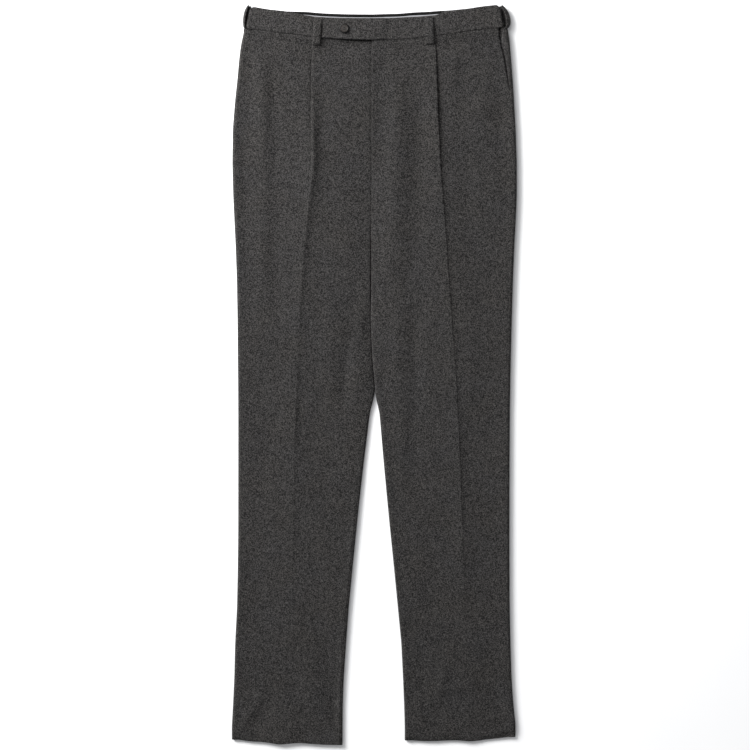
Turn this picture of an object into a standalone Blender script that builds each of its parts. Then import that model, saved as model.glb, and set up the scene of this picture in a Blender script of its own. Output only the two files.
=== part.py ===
"""Pleated dress trousers, laid flat on a surface with the front up.

The lengths in this file are millimetres and meshes are made in metres. +Y runs to the waist and
+Z up. "left" is the wearer's left, which lies at +X. The surface below is z = 0.
Each leg is a flattened cloth tube: the back panel lies on the surface and turns up round both
edges, and the front panel lies over it. Above the crotch the two tubes open into one.
"""

from collections import namedtuple
from math import cos, degrees, exp, hypot, pi, radians, sin, sqrt

import bmesh
import bpy
import numpy as np

MM = 0.001
RIGHT, LEFT = -1, 1
SIDE_NAMES = {RIGHT: "right", LEFT: "left"}

# Driving dimensions
BOX_CENTRE = (-1.6, 0.9)         # middle of the garment's outline, which becomes the origin
CLOTH_WALL = 1.2
BAND_WALL = 1.8
TRIM_WALL = 1.2
SEAM_GAP = 0.35
REST_GAP = 0.35                  # air between a piece and what it lies on
EDGE_REACH = 5.0                 # how far the rounding of an outer edge reaches over the panel
SIDE_SEAM_INSET = 6.0            # the side seam lies on top, this far inside the outline
SEAM_LIP = 0.08                  # share of an edge's round that a panel runs straight at its seam
CROTCH_Y = 205.0
CROTCH_BLEND = 24.0              # the tubes part over this length round the crotch
INSEAM_TURN = (-190.0, -110.0)   # the inseam rolls from the leg's side to its top here
INSEAM_TOP_ANGLE = 62.0          # how far round the edge the inseam has rolled above that
HEM_BEND_Y = -500.0              # the cloth follows the hem's slant below here
WAIST_BEND_Y = 440.0             # and the waist seam's slant above here
BAND_TOP_Z = 11.0
BAND_FLOOR_Z = 2.0               # the waistband stands off the surface by its back loop
FLOOR_LIFT = (478.0, 508.0)      # the back panels rise from the surface between these
BAND_SEAM_END = 200.5            # the waistband's half width along its seam
BAND_LEAN = 7.5                  # how far its ends would lean in by the height BAND_LEAN_SPAN
BAND_LEAN_SPAN = 1.6             # in shares of the waistband's height
BAND_LIP = 0.1                   # share of the waistband's height that stands straight at its seam
TAB_END_X = -83.0
TAB_JOIN_X = 24.8
BUTTON_CENTRE = (-48.0, 537.4)
BUTTON_DIAMETER = 15.6
BUTTON_HEIGHT = 2.8
BUTTON_SEGMENTS = 24
LOOP_WIDTH = 12.0
SIDE_LOOP_Y = (541.0, 573.4)
SIDE_LOOP_LEVELS = (0.6, 6.0, 11.6)
SIDE_LOOP_GAP = 0.6              # between the waistband's end and a side loop's sewn ends
SIDE_LOOP_BOWS = {RIGHT: 3.6, LEFT: 8.4}
CREASE_HEIGHT = 2.6
CREASE_SLOPE = 20.0              # the crease ridge falls away over this length
CREASE_IN_PLEAT = 0.35           # the share of the crease's height that is left beside the pleat
PLEAT_HEIGHT = 2.4
PLEAT_STEP = 3.0                 # width of the folded edge's drop
PLEAT_FADE = (150.0, 330.0)      # the pleat opens out between these heights
FLY_STEP = 1.2
FLY_REACH = 14.0                 # the fly's raised edge falls away over this length
FLY_FADE = 30.0
FLY_END_Y = 337.0
SAG = 1.2                        # how far the middle of a panel lies below its edges
INNER_FADE = 16.0                # the relief fades out over this length towards the inner edge
OUTER_FADE = 18.0                # and over this length towards the outer edge

# Outline of the two legs. cleft_x is the middle of the gap between the legs, and gap its width.
Section = namedtuple("Section", "y right_out cleft_x gap left_out top_z")
SECTIONS = [
    Section(-566, -223.3, -1.8, 96.8, 219.6, 7.2),
    Section(-534, -221.7, -2.3, 96.1, 216.8, 7.4),
    Section(-472, -218.6, -2.5, 91.9, 212.2, 7.6),
    Section(-410, -217.0, -2.0, 84.5, 210.2, 7.8),
    Section(-348, -213.9, -2.7, 73.6, 209.0, 8.0),
    Section(-224, -212.4, -2.7, 48.8, 208.7, 8.2),
    Section(-131, -212.4, -1.9, 30.1, 209.0, 8.4),
    Section(-69, -212.4, -0.7, 17.1, 209.3, 8.6),
    Section(-38, -212.5, -0.2, 10.4, 209.7, 8.8),
    Section(-22, -212.6, -0.2, 7.0, 210.0, 9.0),
    Section(-6, -212.7, -1.2, 0.8, 210.2, 9.0),
    Section(30, -213.0, -4.4, 0.6, 210.9, 9.2),
    Section(74, -213.3, -7.0, 0.6, 212.0, 9.4),
    Section(148, -214.5, -6.4, 0.6, 214.2, 9.6),
    Section(205, -216.6, -6.2, 0.5, 216.6, 9.8),
    Section(280, -220.2, -5.6, 0.3, 220.2, 10.0),
    Section(350, -221.7, -5.0, 0.3, 220.1, 10.0),
    Section(396, -220.1, -4.8, 0.3, 217.6, 10.0),
    Section(458, -213.9, -4.8, 0.3, 213.9, 10.0),
    Section(508, -209.3, -4.8, 0.3, 209.8, 10.0),
    Section(526, -206.4, -4.8, 0.3, 208.2, 9.8),
    Section(540, -202.6, -4.8, 0.3, 205.4, 9.6),
]

# Waistband edges: the seam below it, its top at the back, and how much lower the front top is.
BandEdge = namedtuple("BandEdge", "x seam_y top_y front_drop")
BAND_EDGES = [
    BandEdge(-200, 538.0, 574.0, 0.0),
    BandEdge(-172, 534.5, 568.4, 0.0),
    BandEdge(-124, 528.8, 563.4, 0.0),
    BandEdge(-104, 526.7, 561.4, 5.2),
    BandEdge(-70, 521.8, 558.7, 5.4),
    BandEdge(0, 519.5, 557.0, 4.4),
    BandEdge(39, 521.4, 558.3, 4.5),
    BandEdge(78, 525.0, 562.8, 6.8),
    BandEdge(95, 527.3, 564.4, 6.8),
    BandEdge(110, 529.0, 565.6, 0.0),
    BandEdge(140, 533.2, 568.2, 0.0),
    BandEdge(167, 537.2, 572.4, 0.0),
    BandEdge(200, 540.0, 575.6, 0.0),
]

# Hem edges: the height of the raw hem at a place across each leg.
HemPoint = namedtuple("HemPoint", "x y")
HEMS = {
    RIGHT: [HemPoint(-224, -563.0), HemPoint(-194, -568.0), HemPoint(-170, -569.0),
            HemPoint(-148, -572.6), HemPoint(-122, -570.2), HemPoint(-78, -573.0),
            HemPoint(-50, -573.4)],
    LEFT: [HemPoint(46, -565.6), HemPoint(84, -567.8), HemPoint(128, -566.2),
           HemPoint(146, -568.0), HemPoint(178, -564.6), HemPoint(206, -561.4),
           HemPoint(219, -557.6)],
}

# The pressed crease, which runs up into the folded edge of the pleat.
CreasePoint = namedtuple("CreasePoint", "y right_x left_x")
CREASES = [
    CreasePoint(-575, -147.8, 145.8),
    CreasePoint(-360, -133.3, 139.2),
    CreasePoint(-255, -127.8, 136.4),
    CreasePoint(-115, -125.6, 131.3),
    CreasePoint(8, -120.9, 125.0),
    CreasePoint(132, -115.3, 115.8),
    CreasePoint(241, -107.0, 108.2),
    CreasePoint(334, -98.2, 100.8),
    CreasePoint(385, -99.3, 97.8),
    CreasePoint(540, -97.6, 93.4),
]

# Soft folds: troughs where the depth is positive, ridges where it is negative.
Fold = namedtuple("Fold", "side x0 y0 x1 y1 width depth")
FOLDS = [
    Fold(RIGHT, -158, 480, -164, 170, 15, 1.3),
    Fold(RIGHT, -34, 120, -62, -45, 13, 1.1),
    Fold(RIGHT, -218, -549, -176, -500, 12, -1.2),
    Fold(RIGHT, -76, -485, -52, -545, 14, 1.2),
    Fold(LEFT, 14, 498, 40, 455, 13, 1.0),
    Fold(LEFT, 16, 365, 20, 205, 14, -1.4),
    Fold(LEFT, 58, 445, 52, 270, 14, 1.3),
    Fold(LEFT, 52, 200, 60, -130, 15, 1.2),
    Fold(LEFT, 178, 480, 176, 375, 14, 0.9),
    Fold(LEFT, 86, -487, 102, -534, 12, -1.1),
]

# Slanted side pocket: the mouth's line down the left hip, and mirrored down the right one.
PocketPoint = namedtuple("PocketPoint", "y from_outline")
POCKET_MOUTH = [
    PocketPoint(447, 7.4),
    PocketPoint(458, 7.9),
    PocketPoint(492, 10.8),
    PocketPoint(526, 15.4),
    PocketPoint(540, 13.8),
]
POCKET_END_Y = 447.0
POCKET_STEP = 1.4                # how far the facing lies below the pocket's mouth
POCKET_RISE = 6.0

STATIONS = [-566, -546, -510, -470, -415, -360, -295, -240, -190, -170, -150, -130, -110, -69, -38,
            -22, -6, 30, 90, 150, 190, 200, 210, 220, 232, 280, 330, 385, 430, 446.9, 447.1, 458,
            492, 510, 527, 540]


# Places of the columns across the flat of the back, the same in its panels and its waistband.
BACK_SHARES = (0.0, 0.2, 0.4, 0.6, 0.8, 1.0)


def smoothstep(low, high, value):
    t = min(max((value - low) / (high - low), 0.0), 1.0)
    return t * t * (3.0 - 2.0 * t)


def mix(start, end, share):
    return start + (end - start) * share


def smooth_lookup(rows, key, column, at):
    """A value between a table's rows, on a smooth curve that never overshoots them."""
    knots = [getattr(row, key) for row in rows]
    values = [getattr(row, column) for row in rows]
    at = min(max(at, knots[0]), knots[-1])
    widths = np.diff(knots)
    secants = np.diff(values) / widths
    slopes = np.zeros(len(knots))
    for i in range(1, len(knots) - 1):
        before, after = secants[i - 1], secants[i]
        if before * after > 0:
            slopes[i] = 2 * before * after / (before + after)
    slopes[0], slopes[-1] = secants[0], secants[-1]
    i = int(min(max(np.searchsorted(knots, at) - 1, 0), len(knots) - 2))
    t = (at - knots[i]) / widths[i]
    rise = values[i + 1] - values[i]
    start_slope = slopes[i] * widths[i]
    end_slope = slopes[i + 1] * widths[i]
    return float(values[i] + start_slope * t
                 + (3 * rise - 2 * start_slope - end_slope) * t * t
                 + (start_slope + end_slope - 2 * rise) * t ** 3)


def outer_x(side, y):
    return smooth_lookup(SECTIONS, "y", "left_out" if side == LEFT else "right_out", y)


def inner_x(side, y):
    middle = smooth_lookup(SECTIONS, "y", "cleft_x", y)
    return middle + side * smooth_lookup(SECTIONS, "y", "gap", y) / 2


def crease_x(side, y):
    return smooth_lookup(CREASES, "y", "left_x" if side == LEFT else "right_x", y)


def seam_y(x):
    return smooth_lookup(BAND_EDGES, "x", "seam_y", x)


def band_top_y(x, front):
    drop = smooth_lookup(BAND_EDGES, "x", "front_drop", x) if front else 0.0
    return smooth_lookup(BAND_EDGES, "x", "top_y", x) - drop


def floor_z(y):
    return BAND_FLOOR_Z * smoothstep(*FLOOR_LIFT, y)


def top_z(y):
    return smooth_lookup(SECTIONS, "y", "top_z", y)


def legs_apart(y):
    """0 where the two sides are one tube, and 1 where each leg is a tube of its own."""
    return smoothstep(CROTCH_Y + CROTCH_BLEND, CROTCH_Y - CROTCH_BLEND / 2, y)


def inseam_angle(y):
    """Where the inseam lies on the inner edge: 0 at the leg's side, larger towards its top."""
    return INSEAM_TOP_ANGLE * (1.0 - smoothstep(*INSEAM_TURN, y))


def pocket_x(side, y):
    """The pocket's mouth, or the side seam below it."""
    inset = SIDE_SEAM_INSET
    if y > POCKET_END_Y:
        inset = smooth_lookup(POCKET_MOUTH, "y", "from_outline", y)
    return outer_x(side, y) - side * inset


def fold_depth(fold, x, y):
    along_x, along_y = fold.x1 - fold.x0, fold.y1 - fold.y0
    length = hypot(along_x, along_y)
    share = ((x - fold.x0) * along_x + (y - fold.y0) * along_y) / length ** 2
    across = ((x - fold.x0) * along_y - (y - fold.y0) * along_x) / length
    ends = smoothstep(-0.15, 0.25, share) * smoothstep(1.15, 0.75, share)
    return fold.depth * ends * exp(-(across / fold.width) ** 2)


def relief(side, x, y):
    """The cloth's height over a plain flat top: crease, pleat, fly edge, sag and soft folds."""
    beyond = side * (x - crease_x(side, y))
    crease = CREASE_HEIGHT * exp(-abs(beyond) / CREASE_SLOPE)
    pleat = PLEAT_HEIGHT * smoothstep(*PLEAT_FADE, y) * exp(-abs(beyond) / (2 * CREASE_SLOPE))
    if beyond > 0:
        pleat *= 1.0 - smoothstep(0.0, PLEAT_STEP, beyond)
    height = crease * mix(1.0, CREASE_IN_PLEAT, smoothstep(*PLEAT_FADE, y)) + pleat - SAG
    if side == LEFT:
        from_fly = x - inner_x(side, y)
        on_fly = smoothstep(FLY_END_Y - FLY_FADE, FLY_END_Y, y)
        height += (FLY_STEP + SAG) * exp(-from_fly / FLY_REACH) * on_fly
    height -= sum(fold_depth(fold, x, y) for fold in FOLDS if fold.side == side)
    inner_edge = smoothstep(0.0, INNER_FADE, abs(x - inner_x(side, y)))
    outer_edge = smoothstep(0.0, OUTER_FADE, abs(x - outer_x(side, y)))
    return height * mix(1.0, inner_edge, legs_apart(y)) * outer_edge


def edge_point(side, edge_x, inward, y, angle):
    """A point on the round of a leg's edge: -90 degrees is below, 0 at the side, 90 on top."""
    low, high = floor_z(y), top_z(y)
    x = edge_x + inward * EDGE_REACH * (1.0 - cos(radians(angle)))
    return x, (low + high) / 2 + (high - low) / 2 * sin(radians(angle))


def cloth_top(side, x, y):
    """The height of the garment's upper surface, rounded down towards the outer edge."""
    to_edge = abs(outer_x(side, y) - x)
    low, high = floor_z(y), top_z(y)
    height = high
    if to_edge < EDGE_REACH:
        height = (low + high) / 2 + (high - low) / 2 * sqrt(1.0 - (1.0 - to_edge / EDGE_REACH) ** 2)
    return height + relief(side, x, y)


def real_y(side, x, y):
    """Bends the level stations to the waistband's seam above and to the hem below."""
    top_share = smoothstep(WAIST_BEND_Y, STATIONS[-1], y)
    y += (seam_y(x) - SEAM_GAP / 2 - STATIONS[-1]) * top_share
    hem_share = smoothstep(HEM_BEND_Y, STATIONS[0], y)
    return y + (smooth_lookup(HEMS[side], "x", "y", x) - STATIONS[0]) * hem_share


def gap_angle(y, angle):
    """Half a seam's gap, as an angle on the round of an edge."""
    half_height = (top_z(y) - floor_z(y)) / 2
    reach = hypot(EDGE_REACH * sin(radians(angle)), half_height * cos(radians(angle)))
    return degrees(SEAM_GAP / 2 / reach)


def inner_round(side, y, start, end, shares, flat_z):
    """The inner edge's round, which opens out flat at flat_z above the crotch."""
    points = []
    for share in shares:
        round_x, round_z = edge_point(side, inner_x(side, y), side, y, mix(start, end, share))
        flat_x = inner_x(side, y) + side * EDGE_REACH * share
        apart = legs_apart(y)
        points.append((mix(flat_x, round_x, apart), mix(flat_z(flat_x), round_z, apart)))
    return points


def front_section(side, y):
    start = inseam_angle(y) + gap_angle(y, inseam_angle(y))
    points = inner_round(side, y, start, 90.0, (0.0, SEAM_LIP, 0.36, 0.68, 1.0),
                         lambda x: cloth_top(side, x, y))
    crease = crease_x(side, y)
    inner_flat = inner_x(side, y) + side * EDGE_REACH
    outer_end = pocket_x(side, y) - side * SEAM_GAP / 2
    xs = [mix(inner_flat, crease, share) for share in (0.13, 0.27, 0.42, 0.57, 0.72, 0.88, 1.0)]
    step_end = crease + side * PLEAT_STEP
    xs += [mix(step_end, outer_end, share) for share in (0.0, 0.16, 0.35, 0.55, 0.75, 0.93, 1.0)]
    return points + [(x, cloth_top(side, x, y)) for x in xs]


def back_section(side, y):
    inner_start = inseam_angle(y) - gap_angle(y, inseam_angle(y))
    points = inner_round(side, y, inner_start, -90.0, (0.0, SEAM_LIP, 0.3, 0.55, 0.78, 1.0),
                         lambda x: floor_z(y))
    inner_flat = inner_x(side, y) + side * EDGE_REACH
    outer_flat = outer_x(side, y) - side * EDGE_REACH
    points += [(mix(inner_flat, outer_flat, share), floor_z(y)) for share in BACK_SHARES[1:-1]]
    for i in range(7):
        points.append(edge_point(side, outer_x(side, y), -side, y, mix(-90.0, 90.0, i / 6)))
    seam = outer_x(side, y) - side * (SIDE_SEAM_INSET - SEAM_GAP / 2)
    points[-1] = (points[-1][0], cloth_top(side, points[-1][0], y))
    return points + [(seam, cloth_top(side, seam, y))]


def facing_section(side, y):
    mouth = pocket_x(side, y) + side * SEAM_GAP / 2
    seam = outer_x(side, y) - side * (SIDE_SEAM_INSET + SEAM_GAP / 2)
    points = []
    for share in (0.0, 0.35, 0.7, 1.0):
        x = mix(mouth, seam, share)
        sunk = POCKET_STEP * (1.0 - smoothstep(0.0, POCKET_RISE, POCKET_RISE - abs(x - seam)))
        points.append((x, cloth_top(side, x, y) - sunk))
    return points


def make_material(name, colour, roughness):
    material = bpy.data.materials.new(name)
    material.use_nodes = True
    shader = material.node_tree.nodes["Principled BSDF"]
    shader.inputs["Base Color"].default_value = (*colour, 1.0)
    shader.inputs["Roughness"].default_value = roughness
    return material


def surface(name, rows, wall, material, collection, turned=False):
    """A cloth wall: a grid of outer points in millimetres, thickened inwards."""
    mesh_data = bpy.data.meshes.new(name)
    mesh = bmesh.new()
    grid = [[mesh.verts.new(((x - BOX_CENTRE[0]) * MM, (y - BOX_CENTRE[1]) * MM, z * MM))
             for x, y, z in row] for row in rows]
    for low, high in zip(grid, grid[1:]):
        for i in range(len(low) - 1):
            corners = [low[i], low[i + 1], high[i + 1], high[i]]
            mesh.faces.new(corners[::-1] if turned else corners)
    for face in mesh.faces:
        face.smooth = True
    mesh.to_mesh(mesh_data)
    mesh.free()
    piece = bpy.data.objects.new(name, mesh_data)
    collection.objects.link(piece)
    piece.data.materials.append(material)
    thickness = piece.modifiers.new("Wall", "SOLIDIFY")
    thickness.thickness = wall * MM
    thickness.offset = -1.0
    return piece


def panel(name, side, section, stations, material, collection, facing_up):
    """Lofts a panel through its cross-sections, one at each station."""
    rows = []
    for y in stations:
        rows.append([(x, real_y(side, x, y), z) for x, z in section(side, y)])
    turned = (side == LEFT) != facing_up
    return surface(name, rows, CLOTH_WALL, material, collection, turned)


def band_end_x(side, share):
    """The waistband's end beside the hip, upright at its seam and then sloping in to its top."""
    return side * (BAND_SEAM_END - BAND_LEAN * smoothstep(BAND_LIP, BAND_LEAN_SPAN, share))


def build_waistband(side, material, collection):
    """One half of the waistband, from the fly round the side to the centre back seam."""
    front_start = TAB_JOIN_X + SEAM_GAP / 2 if side == LEFT else inner_x(side, STATIONS[-1])
    back_end = inner_x(side, STATIONS[-1])
    rows = []
    for share in (0.0, BAND_LIP, 0.5, 1.0):
        row = []
        side_x = band_end_x(side, share)
        flat_end = side_x - side * EDGE_REACH
        for along in (0.0, 0.12, 0.25, 0.37, 0.42, 0.5, 0.58, 0.72, 0.86, 1.0):
            x = mix(front_start, flat_end, along)
            y = mix(seam_y(x) + SEAM_GAP / 2, band_top_y(x, True), share)
            row.append((x, y, BAND_TOP_Z))
        for i in range(1, 6):
            angle = mix(90.0, -90.0, i / 6)
            x = side_x - side * EDGE_REACH * (1.0 - cos(radians(angle)))
            z = mix(BAND_FLOOR_Z, BAND_TOP_Z, 0.5 + 0.5 * sin(radians(angle)))
            y = mix(seam_y(x) + SEAM_GAP / 2, band_top_y(x, True), share)
            row.append((x, y, z))
        xs = [mix(flat_end, back_end + side * EDGE_REACH, along) for along in BACK_SHARES]
        for x in xs + [back_end]:
            y = mix(seam_y(x) + SEAM_GAP / 2, band_top_y(x, False), share)
            row.append((x, y, BAND_FLOOR_Z))
        rows.append(row)
    return surface("waistband_" + SIDE_NAMES[side], rows, BAND_WALL, material, collection,
                   turned=side == RIGHT)


def tab_top(x):
    """The fly tab lies on the right waistband and comes down level with the left one."""
    return BAND_TOP_Z + (REST_GAP + BAND_WALL) * smoothstep(20.0, -4.0, x)


def build_tab(material, collection):
    rows = []
    for share in (0.0, 0.33, 0.67, 1.0):
        row = []
        for along in np.linspace(0.0, 1.0, 13):
            x = mix(TAB_END_X, TAB_JOIN_X - SEAM_GAP / 2, float(along))
            y = mix(seam_y(x) + SEAM_GAP / 2, band_top_y(x, True), share)
            row.append((x, y, tab_top(x)))
        rows.append(row)
    return surface("fly_tab", rows, BAND_WALL, material, collection)


def build_lining(material, collection):
    """The strip on the inside of the back waistband that shows over the lower front edge."""
    start_x, end_x = -112.0, 108.0
    depth, below_top = 16.0, 2.2
    height = BAND_FLOOR_Z + BAND_WALL + REST_GAP + TRIM_WALL
    rows = []
    for share in (0.0, 1.0):
        row = []
        for along in np.linspace(0.0, 1.0, 13):
            x = mix(start_x, end_x, float(along))
            top = band_top_y(x, False) - below_top
            row.append((x, top - depth * (1.0 - share), height))
        rows.append(row)
    return surface("waistband_lining", rows, TRIM_WALL, material, collection)


# A belt loop that lies along the band, from its low end to its high one, with its own high_z.
FlatLoop = namedtuple("FlatLoop", "name low_x high_x low_y high_y low_z bow below")
FLAT_LOOPS = [
    FlatLoop("front_right", -91.4, -88.0, 512.3, 555.0, 13.8, 1.0, False),
    FlatLoop("front_left", 85.6, 83.3, 513.7, 556.0, 13.6, 1.4, False),
    FlatLoop("back_center", -4.8, -4.8, 511.0, 556.0, 0.0, 0.0, True),
]
FLAT_LOOP_CURVE, SIDE_LOOP_CURVE = 0.7, 0.6    # how square the loops' bows are
SIDE_LOOP_SKEW = 0.6                           # below 1 the bow is fullest near its low end


def build_flat_loop(loop, high_z, material, collection):
    """A belt loop that lies along the band, bowed away from it between its sewn ends."""
    rows = []
    for share in np.linspace(0.0, 1.0, 9):
        y = mix(loop.low_y, loop.high_y, float(share))
        x = mix(loop.low_x, loop.high_x, float(share))
        z = mix(loop.low_z, high_z, float(share)) + loop.bow * sin(pi * share) ** FLAT_LOOP_CURVE
        rows.append([(x - LOOP_WIDTH / 2, y, z), (x, y, z), (x + LOOP_WIDTH / 2, y, z)])
    return surface("belt_loop_" + loop.name, rows, TRIM_WALL, material, collection, loop.below)


def build_side_loop(side, material, collection):
    """A belt loop seen edge-on, standing out from the waistband's end."""
    rows = []
    for share in np.linspace(0.0, 1.0, 11):
        y = mix(*SIDE_LOOP_Y, float(share))
        arch = abs(sin(pi * share ** SIDE_LOOP_SKEW)) ** SIDE_LOOP_CURVE
        from_band = SIDE_LOOP_GAP + TRIM_WALL + SIDE_LOOP_BOWS[side] * arch
        x = band_end_x(side, float(share)) + side * from_band
        rows.append([(x, y, z) for z in SIDE_LOOP_LEVELS])
    return surface("belt_loop_side_" + SIDE_NAMES[side], rows, TRIM_WALL, material, collection,
                   turned=side == LEFT)


def build_button(material, collection):
    """A four-hole button turned about its own axis, with a raised rim."""
    radius, height = BUTTON_DIAMETER / 2, BUTTON_HEIGHT
    profile = [(0.0, height * 0.62), (radius * 0.62, height * 0.62), (radius * 0.78, height),
               (radius * 0.92, height * 0.96), (radius, height * 0.6), (radius * 0.9, height * 0.2),
               (radius * 0.6, 0.0), (0.0, 0.0)]
    base_z = tab_top(BUTTON_CENTRE[0]) + REST_GAP
    place = ((BUTTON_CENTRE[0] - BOX_CENTRE[0]) * MM, (BUTTON_CENTRE[1] - BOX_CENTRE[1]) * MM,
             base_z * MM)
    mesh_data = bpy.data.meshes.new("button")
    mesh = bmesh.new()
    verts = [mesh.verts.new((r * MM, 0.0, z * MM)) for r, z in profile]
    for first, second in zip(verts, verts[1:]):
        mesh.edges.new((first, second))
    mesh.to_mesh(mesh_data)
    mesh.free()
    button = bpy.data.objects.new("button", mesh_data)
    collection.objects.link(button)
    button.data.materials.append(material)
    turn = button.modifiers.new("Turn", "SCREW")
    turn.steps = BUTTON_SEGMENTS
    turn.render_steps = BUTTON_SEGMENTS
    turn.use_merge_vertices = True
    turn.merge_threshold = 0.00001
    button.location = place
    return button


def cut_button_holes(button, cutters):
    hole_radius, spacing, depth = 0.95, 1.75, 8.0
    for i in range(4):
        angle = radians(45 + 90 * i)
        bpy.ops.mesh.primitive_cylinder_add(
            vertices=10, radius=hole_radius * MM, depth=depth * MM,
            location=(button.location.x + spacing * MM * cos(angle),
                      button.location.y + spacing * MM * sin(angle), button.location.z))
        cutter = bpy.context.object
        cutter.name = "hole_cutter_%d" % (i + 1)
        cutter.hide_render = True
        cutter.display_type = "WIRE"
        for owner in list(cutter.users_collection):
            owner.objects.unlink(cutter)
        cutters.objects.link(cutter)
        cut = button.modifiers.new("Hole %d" % (i + 1), "BOOLEAN")
        cut.operation = "DIFFERENCE"
        cut.object = cutter


def main():
    for leftover in list(bpy.data.objects):
        bpy.data.objects.remove(leftover, do_unlink=True)
    garment = bpy.data.collections.new("pleated_dress_trousers")
    cutters = bpy.data.collections.new("cutters")
    for collection in (garment, cutters):
        bpy.context.scene.collection.children.link(collection)

    wool_colour = (0.052, 0.047, 0.045)
    pocket_stations = [y for y in STATIONS if y > POCKET_END_Y]

    def wool(name):
        return make_material("wool_" + name, wool_colour, 0.85)

    for side in (RIGHT, LEFT):
        label = SIDE_NAMES[side]
        panel("front_" + label, side, front_section, STATIONS, wool("front_" + label), garment, True)
        panel("back_" + label, side, back_section, STATIONS, wool("back_" + label), garment, False)
        panel("pocket_facing_" + label, side, facing_section, pocket_stations,
              wool("facing_" + label), garment, True)
        build_waistband(side, wool("waistband_" + label), garment)
        build_side_loop(side, wool("side_loop_" + label), garment)

    build_tab(wool("fly_tab"), garment)
    build_lining(make_material("lining", (0.42, 0.42, 0.43), 0.6), garment)

    for loop in FLAT_LOOPS:
        high_z = 0.0
        if not loop.below:
            high_z = tab_top(loop.high_x) + REST_GAP + TRIM_WALL
        build_flat_loop(loop, high_z, wool("loop_" + loop.name), garment)

    button = build_button(make_material("horn", (0.03, 0.018, 0.012), 0.3), garment)
    cut_button_holes(button, cutters)


main()
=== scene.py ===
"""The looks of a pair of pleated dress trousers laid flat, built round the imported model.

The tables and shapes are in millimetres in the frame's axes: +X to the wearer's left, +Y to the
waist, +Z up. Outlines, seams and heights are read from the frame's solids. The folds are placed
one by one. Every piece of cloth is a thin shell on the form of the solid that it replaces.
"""

from collections import namedtuple

import bpy
import numpy as np
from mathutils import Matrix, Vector, noise


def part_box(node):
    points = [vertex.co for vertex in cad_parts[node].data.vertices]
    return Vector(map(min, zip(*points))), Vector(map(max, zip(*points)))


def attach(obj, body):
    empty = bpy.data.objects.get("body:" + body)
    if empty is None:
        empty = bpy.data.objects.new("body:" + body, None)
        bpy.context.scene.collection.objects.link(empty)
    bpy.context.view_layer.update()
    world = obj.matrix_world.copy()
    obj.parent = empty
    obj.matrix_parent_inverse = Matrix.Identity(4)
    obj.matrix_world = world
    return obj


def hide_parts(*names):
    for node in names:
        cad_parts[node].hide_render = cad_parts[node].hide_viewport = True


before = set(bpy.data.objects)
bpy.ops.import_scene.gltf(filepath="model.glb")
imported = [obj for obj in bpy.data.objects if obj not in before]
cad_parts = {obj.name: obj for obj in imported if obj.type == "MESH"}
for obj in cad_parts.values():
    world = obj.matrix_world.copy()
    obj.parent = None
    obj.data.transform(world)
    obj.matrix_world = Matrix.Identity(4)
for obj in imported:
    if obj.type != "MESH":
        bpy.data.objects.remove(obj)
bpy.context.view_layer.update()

MM = 0.001
X, Y, Z = 0, 1, 2
RIGHT, LEFT = -1, 1
SIDE_NAMES = {RIGHT: "right", LEFT: "left"}

# Cloth
CLOTH_THICKNESS = 0.55
BAND_THICKNESS = 1.5
LOOP_THICKNESS = 1.5
ROW_SPACING = 5.0
COLUMN_SPACING = 2.6
EDGE_REACH = 5.0  # the rounding at the edge of a leg
TIGHT_REACH = 1.3  # the same where the legs lie pressed together
SIDE_SEAM_INSET = 6.0
SEAM_HALF_GAP = 0.03
SEAM_GROOVE = 0.5
SIDE_GROOVE = 0.06
POCKET_DROPS = {RIGHT: 0.4, LEFT: 3.2}  # how far the facing lies below the pocket mouth
CROTCH_Y = 204.0
CROTCH_BLEND = 24.0
INSEAM_TURN = (-190.0, -110.0)
SAG = 1.1  # how far a panel's middle lies below its edges
OUTER_FADE = 20.0  # the folds fade out over this length at a leg's outer edge
INNER_FADE = 15.0  # and over this length at its inner edge, below the crotch
HEM_ROLL = 2.2  # how far the cloth rolls down at the hem
HEM_ROLL_REACH = 9.0
INNER_ROLL = 2.4  # how far the right leg's inner edge rolls down near the crotch
INNER_ROLL_REACH = 7.0
FLY_END_Y = 336.0
FLY_STEP = 1.5
FLY_LAP = 0.6  # the fly's edge also stands this much proud of the sag
FLY_REACH = 17.0  # and falls away over this length
FLY_DROP = 0.5  # how far the right front sinks beside the fly's edge
UNDERLAP = 7.0  # how far the right front runs on under the fly's edge
TAB_SINK = 1.1  # how far the front sinks below the fly tab's lower edge

# The pleats are folded under down to PLEAT_FOLDED, and open below it.
PLEAT_FOLDED = 352.0
PLEAT_OPEN = 296.0
PLEAT_DEPTH = 15.0
PLEAT_GROOVES = {RIGHT: 1.7, LEFT: 0.8}
PLEAT_SPREAD = 9.0  # the fold's cloth spreads over this width where it has opened

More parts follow.
